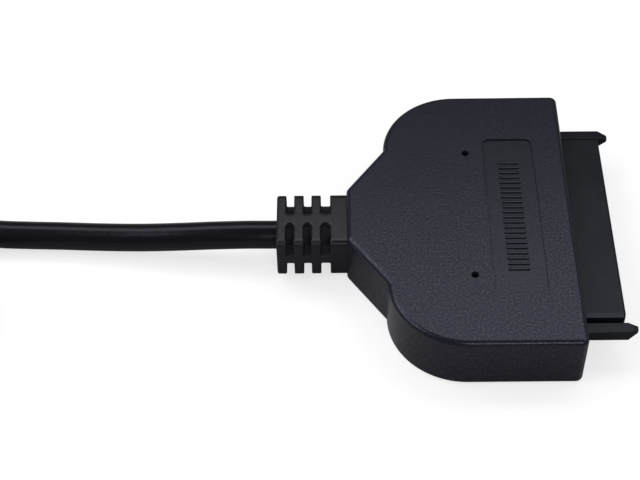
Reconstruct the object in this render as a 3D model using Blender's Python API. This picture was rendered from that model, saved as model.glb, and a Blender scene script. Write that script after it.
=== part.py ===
# Adapter from a USB plug on a short cable to a 22-contact drive connector, in one moulded body.
#
# Metres, +Z up. The origin is on the surface that the body lies on, under the middle of the body
# and its connector. +X is towards the drive, -X towards the cable. The body is symmetric in Y.

import math

import bmesh
import bpy
import numpy as np
from mathutils import Matrix, Vector

MM = 0.001

# Gaps between pieces that touch on the real object
FIT_GAP = 0.3 * MM
CONTACT_GAP = 0.1 * MM

# Outer moulding, in plan a rounded block with quarter-round shoulders and a tapered tail
BODY_WIDTH = 50.0 * MM
BODY_HEIGHT = 10.0 * MM
BODY_FRONT_X = 18.7 * MM
BODY_TAIL_X = -15.75 * MM
BODY_EDGE_RADIUS = 0.8 * MM
FRONT_CORNER_RADIUS = 1.1 * MM
SHOULDER_X = 1.8 * MM
SHOULDER_RADIUS = 11.65 * MM
TAPER_ANGLE = math.radians(35.4)
TAIL_CORNER_RADIUS = 1.2 * MM
BODY_WALL = 1.8 * MM
LEAST_RADIUS = 0.2 * MM
MID_Z = BODY_HEIGHT / 2
SMOOTH_ANGLE = math.radians(30)

# Marks in its top face
PIN_HOLE_DIAMETER = 1.15 * MM
PIN_HOLE_X = 3.1 * MM
PIN_HOLE_SPACING = 24.6 * MM
RECESS_X = 9.6 * MM
RECESS_LENGTH = 7.2 * MM
RECESS_WIDTH = 30.0 * MM
RECESS_DEPTH = 0.3 * MM
RECESS_CORNER = 1.2 * MM

# Strain relief: a collar, three rings and four lengthwise ribs round a core, in one with the body
RELIEF_END_X = -26.56 * MM
RELIEF_WIDTH = 10.3 * MM
RELIEF_HEIGHT = 7.7 * MM
RELIEF_CORNER = 0.85 * MM
RELIEF_EDGE = 0.25 * MM
RELIEF_CORE_DIAMETER = 5.9 * MM
RING_LENGTH = 1.48 * MM
POCKET_LENGTHS = (1.19 * MM, 1.19 * MM, 1.43 * MM)
RIB_WIDTH = 1.7 * MM

# Cable
CABLE_DIAMETER = 4.4 * MM
CABLE_BORE = 4.8 * MM
JACKET_END_X = -11.5 * MM
CABLE_POINT_SPACING = 9.0 * MM

# The stretch that isn't coiled, from the cut end of the jacket to the coil
CABLE_ROUTE = [
    Vector(point) * MM
    for point in (
        (JACKET_END_X / MM, 0.0, MID_Z / MM),
        (-19.0, 0.0, MID_Z / MM),
        (-26.6, 0.03, MID_Z / MM),
        (-31.5, 0.16, 4.9),
        (-36.5, 0.37, 4.55),
        (-42.0, 0.69, 3.95),
        (-48.3, 1.28, 3.15),
        (-54.8, 1.95, 2.58),
        (-61.0, 2.5, 2.3),
        (-66.0, 2.75, 2.24),
        (-71.0, 3.05, 2.24),
        (-77.0, 3.95, 2.4),
    )
]

# Coil of the length that is put away: two turns side by side with a third in the groove on them
COIL_X = -98.0 * MM
COIL_Y = -14.2 * MM
COIL_RADIUS = 21.0 * MM
COIL_STEPS = 32
COIL_SMOOTH_ANGLE = math.radians(40)
TIE_WIDTH = 4.0 * MM
TIE_THICKNESS = 0.5 * MM
TIE_GAP = 0.4 * MM
TIE_ANGLE = math.radians(215)
COIL_Z = TIE_THICKNESS + TIE_GAP
TURN_RISE = CABLE_DIAMETER * math.sin(math.radians(60))

# From the coil to the plug
TAIL_ROUTE = [
    Vector(point) * MM
    for point in (
        (-113.6, 6.8, 7.35),
        (-117.5, 6.8, 6.75),
        (-121.0, 6.8, 5.1),
        (-125.3, 6.8, 4.15),
    )
]
TAIL_POINT_SPACING = 3.0 * MM

# Plug
PLUG_REAR_X = -126.3 * MM
PLUG_Y = 6.8 * MM
GRIP_LENGTH = 26.0 * MM
GRIP_WIDTH = 15.6 * MM
GRIP_HEIGHT = 8.0 * MM
GRIP_CORNER = 1.8 * MM
GRIP_NECK_LENGTH = 6.0 * MM
GRIP_NECK_DIAMETER = 6.4 * MM
GRIP_NECK_DRAFT = 0.4 * MM
GRIP_NECK_FLAT = 0.1 * MM
GRIP_BACK_LENGTH = 2.4 * MM
GRIP_BACK_STEP = 0.6 * MM
GRIP_BACK_NARROWING = 1.6 * MM
GRIP_FRONT_LENGTH = 0.8 * MM
GRIP_FRONT_NARROWING = 0.9 * MM
PLUG_Z = GRIP_HEIGHT / 2
SHELL_WIDTH = 12.0 * MM
SHELL_HEIGHT = 4.5 * MM
SHELL_WALL = 0.3 * MM
SHELL_CORNER = 0.6 * MM
SHELL_REACH = 18.6 * MM
SHELL_SEAT = 4.8 * MM
SHELL_WINDOW_LENGTH = 2.4 * MM
SHELL_WINDOW_WIDTH = 2.2 * MM
SHELL_WINDOW_SPACING = 5.9 * MM
SHELL_WINDOW_REACH = 10.5 * MM
TONGUE_THICKNESS = 1.8 * MM
TONGUE_RECESS = 0.7 * MM
TONGUE_BASE_LENGTH = 5.0 * MM
USB_CONTACT_THICKNESS = 0.2 * MM
USB_CONTACT_WIDTH = 1.0 * MM
USB_CONTACT_LENGTH = 8.2 * MM
USB_CONTACT_RECESS = 1.2 * MM
USB_CONTACT_Y = (-3.5 * MM, -1.0 * MM, 1.0 * MM, 3.5 * MM)
FAST_CONTACT_WIDTH = 0.8 * MM
FAST_CONTACT_LENGTH = 3.0 * MM
FAST_CONTACT_RISE = 0.6 * MM
FAST_CONTACT_CREST = (0.65, 0.45)
FAST_CONTACT_PITCH = 2.0 * MM
FAST_CONTACT_COUNT = 5

# Drive connector: a flange in the body's mouth, a slotted housing and a guide post at each end
HOUSING_WIDTH = 36.1 * MM
HOUSING_HEIGHT = 4.5 * MM
HOUSING_REACH = 6.35 * MM
HOUSING_CORNER = 0.55 * MM
HOUSING_EDGE = 0.3 * MM
FLANGE_LENGTH = 4.7 * MM
POST_SPAN = 40.9 * MM
POST_WIDTH = 1.85 * MM
POST_HEIGHT = 1.95 * MM
POST_RISE = 0.32 * MM
POST_REACH = 8.1 * MM
POST_TAPER = 1.45 * MM
POST_TIP = 0.7 * MM
POST_TIP_RISE = 0.2 * MM
POST_TIP_SHIFT = 0.15 * MM
POST_CORNER = 0.12 * MM
SLOT_HEIGHT = 1.3 * MM
SLOT_TOP_RISE = 0.2 * MM
SLOT_DEPTH = 6.0 * MM
SIGNAL_SLOT_WIDTH = 10.41 * MM
POWER_SLOT_WIDTH = 20.57 * MM
SLOT_WEB = 2.41 * MM
KEY_WIDTH = 1.1 * MM
KEY_DEPTH = 0.75 * MM

# Its contacts
CONTACT_PITCH = 1.27 * MM
SIGNAL_CONTACTS = 7
POWER_CONTACTS = 15
CONTACT_WIDTH = 0.6 * MM
CONTACT_THICKNESS = 0.25 * MM
CONTACT_BOW = 0.28 * MM
CONTACT_BENDS = (0.1, 0.5, 0.75)
CONTACT_SMOOTH_ANGLE = math.radians(20)
CONTACT_TAIL_LENGTH = 2.6 * MM
CONTACT_TIP_RECESS = 1.1 * MM
GROOVE_WIDTH = 0.85 * MM
GROOVE_HEIGHT = 0.6 * MM
GROOVE_LIP = 0.75 * MM

# Inner moulding round the board
BOARD_ROOM_DROP = 1.1 * MM
BOARD_ROOM_RISE = 2.0 * MM
BOARD_REAR_X = -5.2 * MM
CORE_POCKET_X = -10.8 * MM
CORE_POCKET_WIDTH = 13.2 * MM
CORE_POCKET_DROP = 1.8 * MM

# Board and what is soldered to it
BOARD_WIDTH = 32.4 * MM
BOARD_THICKNESS = 1.0 * MM
PACKAGE_EDGE = 0.12 * MM
CAPACITOR_EDGE = 0.08 * MM
BRIDGE_CHIP = (3.0 * MM, 0.5 * MM, 8.0 * MM, 8.0 * MM, 0.9 * MM)
CRYSTAL = (3.6 * MM, -6.4 * MM, 2.5 * MM, 3.2 * MM, 0.8 * MM)
FLASH_CHIP = (-0.6 * MM, -8.6 * MM, 3.9 * MM, 4.9 * MM, 1.4 * MM)
REGULATOR = (5.6 * MM, 11.4 * MM, 3.5 * MM, 6.5 * MM, 1.6 * MM)
INDUCTOR = (-0.6 * MM, 11.0 * MM, 4.2 * MM, 4.2 * MM, 1.7 * MM)
CAPACITOR = (8.9 * MM, 0.8 * MM, 1.6 * MM, 0.8 * MM)
CAPACITOR_Y = (-12.0 * MM, -9.0 * MM, -2.2 * MM, 3.2 * MM)
LEG_WIDTH = 0.4 * MM
LEG_PITCH = 1.27 * MM
LEG_REACH = 1.05 * MM
LEG_THICKNESS = 0.3 * MM
LEGS_PER_SIDE = 4

# Insulated wires from the jacket to the board
CORE_DIAMETER = 0.76 * MM
CORE_CIRCLE_RADIUS = 1.34 * MM
CORE_PAD_PITCH = 1.6 * MM
CORE_PAD_X = -3.2 * MM
CORE_SPACING = 1.2 * MM
CORE_LEAD = 1.2 * MM
CORE_LANDING = 1.6 * MM
CORE_NAMES = (
    "power_core",
    "receive_core_1",
    "receive_core_2",
    "data_core_1",
    "data_core_2",
    "send_core_1",
    "send_core_2",
    "ground_core",
)

# Values that follow from those above
CAVITY_FRONT_X = BODY_FRONT_X - FIT_GAP - FLANGE_LENGTH
HOUSING_FRONT_X = BODY_FRONT_X + HOUSING_REACH
POST_FRONT_X = BODY_FRONT_X + POST_REACH
FLANGE_REAR_X = CAVITY_FRONT_X
INNER_FRONT_X = CAVITY_FRONT_X - FIT_GAP
BOARD_FRONT_X = INNER_FRONT_X - FIT_GAP
SLOT_TOP_Z = MID_Z + SLOT_TOP_RISE
BOARD_ROOM = (MID_Z - BOARD_ROOM_DROP, MID_Z + BOARD_ROOM_RISE)
BOARD_Z = BOARD_ROOM[0] + CONTACT_GAP
BOARD_TOP_Z = BOARD_Z + BOARD_THICKNESS
CONTACT_Z = BOARD_TOP_Z + CONTACT_GAP + CONTACT_THICKNESS / 2
MOULD_Z = BODY_WALL + FIT_GAP
GRIP_FRONT_X = PLUG_REAR_X - GRIP_LENGTH
SHELL_FRONT_X = GRIP_FRONT_X - SHELL_REACH
SHELL_REAR_X = GRIP_FRONT_X + SHELL_SEAT


def clear_scene():
    for item in list(bpy.data.objects):
        bpy.data.objects.remove(item, do_unlink=True)


def material(name, colour, roughness, metallic=0.0):
    made = bpy.data.materials.new(name)
    made.use_nodes = True
    shader = made.node_tree.nodes["Principled BSDF"]
    shader.inputs["Base Color"].default_value = (*colour, 1.0)
    shader.inputs["Roughness"].default_value = roughness
    shader.inputs["Metallic"].default_value = metallic
    return made


# Shapes

def arc(centre_x, centre_y, radius, start, stop, steps):
    """Points of an arc between two angles in degrees, both ends included."""
    angles = np.radians(np.linspace(start, stop, steps + 1))
    return [(centre_x + radius * math.cos(a), centre_y + radius * math.sin(a)) for a in angles]


def rounded_rectangle(width, height, radius, steps=4, centre=(0.0, 0.0)):
    """An anticlockwise outline with round corners."""
    x, y = width / 2 - radius, height / 2 - radius
    corners = ((x, y, 0), (-x, y, 90), (-x, -y, 180), (x, -y, 270))
    return [
        (centre[0] + px, centre[1] + py)
        for cx, cy, start in corners
        for px, py in arc(cx, cy, radius, start, start + 90, steps)
    ]


def half_body_outline(inset, front):
    """The +Y half of the body's outline moved in by inset, from its front to its tail."""
    side = BODY_WIDTH / 2 - inset
    corner = max(FRONT_CORNER_RADIUS - inset, LEAST_RADIUS)
    shoulder_y = BODY_WIDTH / 2 - SHOULDER_RADIUS
    crease_x = SHOULDER_X - SHOULDER_RADIUS + inset
    crease_y = shoulder_y - inset * math.tan(TAPER_ANGLE / 2)
    tail_x = BODY_TAIL_X + inset
    tail_y = crease_y - (crease_x - tail_x) / math.tan(TAPER_ANGLE)
    bend = max(TAIL_CORNER_RADIUS - inset, LEAST_RADIUS)
    turn = math.degrees(TAPER_ANGLE)
    return (
        arc(front - corner, side - corner, corner, 0, 90, 5)
        + arc(SHOULDER_X, shoulder_y, SHOULDER_RADIUS - inset, 90, 180, 12)
        + [(crease_x, crease_y)]
        + arc(tail_x + bend, tail_y - bend * math.tan(TAPER_ANGLE / 2), bend, 180 - turn, 180, 4)
    )


def body_outline(inset=0.0, front=None):
    """The whole outline, anticlockwise from the front."""
    if front is None:
        front = BODY_FRONT_X - inset
    half = half_body_outline(inset, front)
    return half + [(x, -y) for x, y in reversed(half)]


def loft(loops, ring=False):
    """A closed skin through loops of equally many points, capped at both ends unless it is a ring."""
    shape = bmesh.new()
    rows = [[shape.verts.new(point) for point in loop] for loop in loops]
    count = len(rows[0])
    following = rows[1:] + ([rows[0]] if ring else [])
    for row, after in zip(rows, following):
        for i in range(count):
            j = (i + 1) % count
            shape.faces.new((row[i], row[j], after[j], after[i]))
    if not ring:
        shape.faces.new(list(reversed(rows[0])))
        shape.faces.new(rows[-1])
    bmesh.ops.remove_doubles(shape, verts=shape.verts, dist=1e-7)
    bmesh.ops.recalc_face_normals(shape, faces=shape.faces)
    return shape


def upright(outline, z):
    return [(x, y, z) for x, y in outline]


def across(outline, x):
    """An outline drawn in Y and Z, set at x."""
    return [(x, y, z) for y, z in outline]


def prism(outline, low, high):
    return loft([upright(outline, low), upright(outline, high)])


def bar(outline, start, stop):
    """An outline in Y and Z, extruded along X."""
    return loft([across(outline, start), across(outline, stop)])


def block(x, y, z):
    """A box from three (low, high) pairs."""
    corners = [(x[0], y[0]), (x[1], y[0]), (x[1], y[1]), (x[0], y[1])]
    return prism(corners, *z)


def cylinder(radius, depth, place, axis="Z", segments=24):
    turns = {"Z": Matrix(), "X": Matrix.Rotation(math.pi / 2, 4, "Y")}
    shape = bmesh.new()
    bmesh.ops.create_cone(
        shape, cap_ends=True, segments=segments, radius1=radius, radius2=radius, depth=depth,
        matrix=Matrix.Translation(place) @ turns[axis],
    )
    return shape


def joined(shapes):
    """Several shapes that don't meet, as one."""
    mesh = bpy.data.meshes.new("joined")
    whole = bmesh.new()
    for shape in shapes:
        shape.to_mesh(mesh)
        whole.from_mesh(mesh)
        shape.free()
    bpy.data.meshes.remove(mesh)
    return whole


def moved(shape, matrix):
    bmesh.ops.transform(shape, matrix=matrix, verts=shape.verts)
    if matrix.determinant() < 0:
        bmesh.ops.reverse_faces(shape, faces=shape.faces)
    return shape


def add(name, shape, finish, smooth_angle=SMOOTH_ANGLE):
    """A new object from a shape, smooth but for edges sharper than the given angle."""
    mesh = bpy.data.meshes.new(name)
    shape.to_mesh(mesh)
    shape.free()
    made = bpy.data.objects.new(name, mesh)
    bpy.context.collection.objects.link(made)
    made.data.materials.append(finish)
    mesh.shade_smooth()
    mesh.set_sharp_from_angle(angle=smooth_angle)
    return made


def combine(target, shape, operation, name):
    """A Boolean with a helper object that isn't part of the model."""
    mesh = bpy.data.meshes.new(name)
    shape.to_mesh(mesh)
    shape.free()
    helper = bpy.data.objects.new(name, mesh)
    bpy.context.collection.objects.link(helper)
    helper.hide_render = True
    helper.display_type = "WIRE"
    modifier = target.modifiers.new(name, "BOOLEAN")
    modifier.operation = operation
    modifier.object = helper
    return helper


def cut(target, shape, name):
    return combine(target, shape, "DIFFERENCE", name)


def fuse(target, shape, name):
    return combine(target, shape, "UNION", name)


def smooth_line(route, spacing):
    """Points at an even spacing along a smooth curve through the points of a route."""
    ends = [2 * route[0] - route[1], *route, 2 * route[-1] - route[-2]]
    fine = []
    for a, b, c, d in zip(ends, ends[1:], ends[2:], ends[3:]):
        for t in np.linspace(0, 1, 12, endpoint=False):
            fine.append(
                0.5 * (2 * b + (c - a) * t + (2 * a - 5 * b + 4 * c - d) * t**2
                       + (3 * b - a - 3 * c + d) * t**3)
            )
    fine.append(route[-1])
    fine = np.array(fine)
    along = np.concatenate([[0], np.cumsum(np.linalg.norm(np.diff(fine, axis=0), axis=1))])
    stops = np.linspace(0, along[-1], max(2, round(along[-1] / spacing) + 1))
    return [Vector([np.interp(s, along, fine[:, k]) for k in range(3)]) for s in stops]


def tube(name, points, diameter, finish, roundness=2):
    """A plain tube along a line of points, with closed ends."""
    curve = bpy.data.curves.new(name, "CURVE")
    curve.dimensions = "3D"
    curve.bevel_depth = diameter / 2
    curve.bevel_resolution = roundness
    curve.use_fill_caps = True
    spline = curve.splines.new("POLY")
    spline.points.add(len(points) - 1)
    for spot, point in zip(spline.points, points):
        spot.co = (*point, 1.0)
    made = bpy.data.objects.new(name, curve)
    bpy.context.collection.objects.link(made)
    curve.materials.append(finish)
    return made


# Outer moulding

def relief_pockets():
    """The pockets between rings and ribs: a slot with a round end in each corner, down to the core."""
    reach = max(RELIEF_WIDTH, RELIEF_HEIGHT)
    rib = RIB_WIDTH / 2
    start = RELIEF_END_X
    pockets = []
    for length in POCKET_LENGTHS:
        half = length / 2
        slot = arc(0, rib + half, half, 180, 360, 8) + [(half, reach), (-half, reach)]
        start += RING_LENGTH
        for side in (-1, 1):
            for level in (-1, 1):
                turned = Matrix.Diagonal((1, side, level, 1))
                place = Matrix.Translation((start + half, 0, MID_Z)) @ turned
                pockets.append(moved(prism(slot, rib, reach), place))
        start += length
    return joined(pockets)


def relief_core():
    """The round core that the pockets leave standing."""
    length = BODY_TAIL_X - RELIEF_END_X
    middle = (BODY_TAIL_X + RELIEF_END_X) / 2
    return cylinder(RELIEF_CORE_DIAMETER / 2, length, (middle, 0, MID_Z), "X", 20)


def make_overmould(finish):
    loops = []
    for low in (True, False):
        turns = np.linspace(0, 90, 5) if low else np.linspace(90, 0, 5)
        for turn in np.radians(turns):
            inset = BODY_EDGE_RADIUS * (1 - math.sin(turn))
            drop = BODY_EDGE_RADIUS * (1 - math.cos(turn))
            loops.append(upright(body_outline(inset), drop if low else BODY_HEIGHT - drop))
    body = add("overmould", loft(loops), finish)

    def section(inset):
        return rounded_rectangle(
            RELIEF_WIDTH - 2 * inset, RELIEF_HEIGHT - 2 * inset, RELIEF_CORNER - inset,
            centre=(0, MID_Z),
        )

    relief = loft([
        across(section(RELIEF_EDGE), RELIEF_END_X),
        across(section(0), RELIEF_END_X + RELIEF_EDGE),
        across(section(0), BODY_TAIL_X + BODY_WALL / 2),
    ])
    relief_tool = fuse(body, relief, "relief_tool")
    pockets = cut(relief_tool, relief_pockets(), "pocket_tool")
    cut(pockets, relief_core(), "core_tool")

    cavity = prism(body_outline(BODY_WALL, CAVITY_FRONT_X), BODY_WALL, BODY_HEIGHT - BODY_WALL)
    cut(body, cavity, "cavity_tool")
    mouth_width = POST_SPAN + 2 * FIT_GAP
    mouth_height = HOUSING_HEIGHT + 2 * FIT_GAP
    mouth = block(
        (CAVITY_FRONT_X - BODY_WALL, BODY_FRONT_X + BODY_WALL),
        (-mouth_width / 2, mouth_width / 2),
        (MID_Z - mouth_height / 2, MID_Z + mouth_height / 2),
    )
    cut(body, mouth, "mouth_tool")
    bore_length = BODY_TAIL_X + 2 * BODY_WALL - RELIEF_END_X + BODY_WALL
    bore_middle = RELIEF_END_X - BODY_WALL + bore_length / 2
    cut(body, cylinder(CABLE_BORE / 2, bore_length, (bore_middle, 0, MID_Z), "X", 20), "bore_tool")
    hole_z = BODY_HEIGHT - BODY_WALL / 2
    holes = [
        cylinder(PIN_HOLE_DIAMETER / 2, 2 * BODY_WALL, (PIN_HOLE_X, y, hole_z), segments=16)
        for y in (-PIN_HOLE_SPACING / 2, PIN_HOLE_SPACING / 2)
    ]
    cut(body, joined(holes), "pin_hole_tool")
    recess = rounded_rectangle(RECESS_LENGTH, RECESS_WIDTH, RECESS_CORNER, 4, (RECESS_X, 0))
    cut(body, prism(recess, BODY_HEIGHT - RECESS_DEPTH, BODY_HEIGHT + BODY_WALL), "recess_tool")


def make_inner_mould(finish):
    outline = body_outline(BODY_WALL + FIT_GAP, INNER_FRONT_X)
    mould = add("inner_mould", prism(outline, MOULD_Z, BODY_HEIGHT - MOULD_Z), finish)
    half_board = BOARD_WIDTH / 2 + FIT_GAP
    board_room = block(
        (BOARD_REAR_X - FIT_GAP, INNER_FRONT_X + BODY_WALL),
        (-half_board, half_board),
        BOARD_ROOM,
    )
    cut(mould, board_room, "board_room_tool")
    core_room = block(
        (CORE_POCKET_X, BOARD_REAR_X + BODY_WALL),
        (-CORE_POCKET_WIDTH / 2, CORE_POCKET_WIDTH / 2),
        (MID_Z - CORE_POCKET_DROP, BOARD_ROOM[1]),
    )
    cut(mould, core_room, "core_room_tool")
    length = CORE_POCKET_X - BODY_TAIL_X + FIT_GAP
    middle = (BODY_TAIL_X + CORE_POCKET_X + FIT_GAP) / 2
    cut(mould, cylinder(CABLE_BORE / 2, length, (middle, 0, MID_Z), "X", 20), "jacket_tool")


# Drive connector

def slot_spans():
    """(low, high) in Y of the signal slot and of the power slot."""
    whole = SIGNAL_SLOT_WIDTH + SLOT_WEB + POWER_SLOT_WIDTH
    signal = (-whole / 2, -whole / 2 + SIGNAL_SLOT_WIDTH)
    power = (whole / 2 - POWER_SLOT_WIDTH, whole / 2)
    return signal, power


def contact_places():
    """(name, y) of each contact. The key at one end of a slot moves its contacts over by half its width."""
    places = []
    for label, count, (low, high) in zip(
        ("signal", "power"), (SIGNAL_CONTACTS, POWER_CONTACTS), slot_spans()
    ):
        middle = (low + high + KEY_WIDTH) / 2
        for i in range(count):
            y = middle + (i - (count - 1) / 2) * CONTACT_PITCH
            places.append((f"{label}_contact_{i + 1}", y))
    return places


def make_receptacle(finish):
    flange = block(
        (FLANGE_REAR_X, BODY_FRONT_X - FIT_GAP),
        (-POST_SPAN / 2, POST_SPAN / 2),
        (MID_Z - HOUSING_HEIGHT / 2, MID_Z + HOUSING_HEIGHT / 2),
    )
    base = add("sata_receptacle", flange, finish)

    def section(inset):
        return rounded_rectangle(
            HOUSING_WIDTH - 2 * inset, HOUSING_HEIGHT - 2 * inset, HOUSING_CORNER, 2, (0, MID_Z)
        )

    root = BODY_FRONT_X - FLANGE_LENGTH / 2
    housing = loft([
        across(section(0), root),
        across(section(0), HOUSING_FRONT_X - HOUSING_EDGE),
        across(section(HOUSING_EDGE / 2), HOUSING_FRONT_X),
    ])
    fuse(base, housing, "housing_tool")
    post_z = MID_Z + POST_RISE
    for side in (-1, 1):
        post_y = side * (POST_SPAN - POST_WIDTH) / 2
        full = rounded_rectangle(POST_WIDTH, POST_HEIGHT, POST_CORNER, 1, (post_y, post_z))
        tip_place = (post_y - side * POST_TIP_SHIFT, post_z + POST_TIP_RISE)
        tip = rounded_rectangle(POST_TIP, POST_TIP, POST_CORNER, 1, tip_place)
        narrowing_x = POST_FRONT_X - POST_TAPER
        post = loft([across(full, root), across(full, narrowing_x), across(tip, POST_FRONT_X)])
        fuse(base, post, f"post_tool_{side}")

    slots = []
    slot_low = SLOT_TOP_Z - SLOT_HEIGHT
    for low, high in slot_spans():
        outline = [
            (low, slot_low - KEY_DEPTH),
            (low + KEY_WIDTH, slot_low - KEY_DEPTH),
            (low + KEY_WIDTH, slot_low),
            (high, slot_low),
            (high, SLOT_TOP_Z),
            (low, SLOT_TOP_Z),
        ]
        slots.append(bar(outline, HOUSING_FRONT_X - SLOT_DEPTH, HOUSING_FRONT_X + HOUSING_EDGE))
    cut(base, joined(slots), "slot_tool")
    grooves = [
        block(
            (FLANGE_REAR_X - BODY_WALL, HOUSING_FRONT_X - GROOVE_LIP),
            (y - GROOVE_WIDTH / 2, y + GROOVE_WIDTH / 2),
            (CONTACT_Z - GROOVE_HEIGHT / 2, CONTACT_Z + GROOVE_HEIGHT / 2),
        )
        for _, y in contact_places()
    ]
    cut(base, joined(grooves), "groove_tool")


def strip(centreline, thickness, low_y, high_y):
    """A flat strip that follows a centreline in X and Z."""
    line = [Vector(point) for point in centreline]
    upper, lower = [], []
    for i, point in enumerate(line):
        ahead = line[min(i + 1, len(line) - 1)] - line[max(i - 1, 0)]
        side = Vector((-ahead.y, ahead.x)).normalized() * thickness / 2
        upper.append(point + side)
        lower.append(point - side)
    outline = lower + list(reversed(upper))
    return loft([[(x, y, z) for x, z in outline] for y in (low_y, high_y)])


def make_contacts(finish):
    tail = FLANGE_REAR_X - CONTACT_TAIL_LENGTH
    tip = HOUSING_FRONT_X - CONTACT_TIP_RECESS
    slot_rear = HOUSING_FRONT_X - SLOT_DEPTH
    reach = tip - slot_rear
    straight, crest, fall = (slot_rear + share * reach for share in CONTACT_BENDS)
    line = [
        (tail, CONTACT_Z),
        (straight, CONTACT_Z),
        (crest, CONTACT_Z - CONTACT_BOW),
        (fall, CONTACT_Z - CONTACT_BOW),
        (tip, CONTACT_Z + CONTACT_BOW / 4),
    ]
    for name, y in contact_places():
        shape = strip(line, CONTACT_THICKNESS, y - CONTACT_WIDTH / 2, y + CONTACT_WIDTH / 2)
        add(name, shape, finish, CONTACT_SMOOTH_ANGLE)


# Board

def on_board(x, y, length, width, height):
    """A box that sits on the board, with a small gap under it."""
    low = BOARD_TOP_Z + CONTACT_GAP
    return block((x - length / 2, x + length / 2), (y - width / 2, y + width / 2), (low, low + height))


def bevelled(made, width):
    modifier = made.modifiers.new("edge", "BEVEL")
    modifier.width = width
    modifier.segments = 1
    return made


def make_board(finishes):
    half = BOARD_WIDTH / 2
    board = block((BOARD_REAR_X, BOARD_FRONT_X), (-half, half), (BOARD_Z, BOARD_TOP_Z))
    add("circuit_board", board, finishes["board"])
    bevelled(add("bridge_chip", on_board(*BRIDGE_CHIP), finishes["chip"]), PACKAGE_EDGE)
    bevelled(add("crystal", on_board(*CRYSTAL), finishes["tin"]), PACKAGE_EDGE)
    bevelled(add("regulator", on_board(*REGULATOR), finishes["chip"]), PACKAGE_EDGE)
    for i, y in enumerate(CAPACITOR_Y):
        x, length, width, height = CAPACITOR
        shape = on_board(x, y, length, width, height)
        bevelled(add(f"capacitor_{i + 1}", shape, finishes["ceramic"]), CAPACITOR_EDGE)

    x, y, length, width, height = INDUCTOR
    low = BOARD_TOP_Z + CONTACT_GAP
    outline = rounded_rectangle(length, width, length / 5, 3, (x, y))
    add("inductor", prism(outline, low, low + height), finishes["ferrite"])

    x, y, length, width, height = FLASH_CHIP
    chip = bevelled(add("flash_chip", on_board(*FLASH_CHIP), finishes["chip"]), PACKAGE_EDGE)
    for i in range(LEGS_PER_SIDE):
        leg_y = y + (i - (LEGS_PER_SIDE - 1) / 2) * LEG_PITCH
        leg = block(
            (x - length / 2 - LEG_REACH, x + length / 2 + LEG_REACH),
            (leg_y - LEG_WIDTH / 2, leg_y + LEG_WIDTH / 2),
            (low, low + LEG_THICKNESS),
        )
        fuse(chip, leg, f"leg_tool_{i}")


def make_cores(finish):
    """Eight wires leave the jacket on a circle, and fan out to a row of pads on the board's top face."""
    pad_z = BOARD_TOP_Z + CONTACT_GAP + CORE_DIAMETER / 2
    start_x = JACKET_END_X + FIT_GAP
    step = 2 * math.pi / len(CORE_NAMES)
    spots = [
        (CORE_CIRCLE_RADIUS * math.cos(turn), CORE_CIRCLE_RADIUS * math.sin(turn))
        for turn in step * (np.arange(len(CORE_NAMES)) + 0.5)
    ]
    spots.sort(key=lambda spot: (round(spot[0] / MM, 3), spot[1] * (1 if spot[0] < 0 else -1)))
    for i, (name, (dy, dz)) in enumerate(zip(CORE_NAMES, spots)):
        pad_y = (i - (len(CORE_NAMES) - 1) / 2) * CORE_PAD_PITCH
        route = [
            Vector((start_x, dy, MID_Z + dz)),
            Vector((start_x + CORE_LEAD, dy, MID_Z + dz)),
            Vector((BOARD_REAR_X - CORE_LANDING, pad_y, pad_z)),
            Vector((BOARD_REAR_X, pad_y, pad_z)),
            Vector((CORE_PAD_X, pad_y, pad_z)),
        ]
        tube(name, smooth_line(route, CORE_SPACING), CORE_DIAMETER, finish, 1)


# Cable

def coil_section(offset):
    """The outline round the coil's three turns, in distance from the coil's axis and height."""
    radius = CABLE_DIAMETER / 2
    low = COIL_Z + radius
    centres = (
        (COIL_RADIUS + radius, low, -90, 30),
        (COIL_RADIUS, low + TURN_RISE, 30, 150),
        (COIL_RADIUS - radius, low, 150, 270),
    )
    return [
        point
        for r, z, start, stop in centres
        for point in arc(r, z, radius + offset, start, stop, 3)
    ]


def make_coil(jacket, strap):
    section = coil_section(0.0)
    loops = []
    for turn in np.linspace(0, 2 * math.pi, COIL_STEPS, endpoint=False):
        loops.append([
            (COIL_X + r * math.cos(turn), COIL_Y + r * math.sin(turn), z) for r, z in section
        ])
    add("cable_coil", loft(loops, ring=True), jacket, COIL_SMOOTH_ANGLE)

    place = Matrix.Translation((COIL_X, COIL_Y, 0)) @ Matrix.Rotation(TIE_ANGLE, 4, "Z")
    rows = []
    for offset, along in (
        (TIE_GAP, -1), (TIE_GAP + TIE_THICKNESS, -1), (TIE_GAP + TIE_THICKNESS, 1), (TIE_GAP, 1)
    ):
        y = along * TIE_WIDTH / 2
        rows.append([place @ Vector((r, y, z)) for r, z in coil_section(offset)])
    add("coil_tie", loft(rows, ring=True), strap, COIL_SMOOTH_ANGLE)


# Plug

def plug_section(width, height, corner, steps=3):
    return rounded_rectangle(width, height, corner, steps, (PLUG_Y, PLUG_Z))


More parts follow.
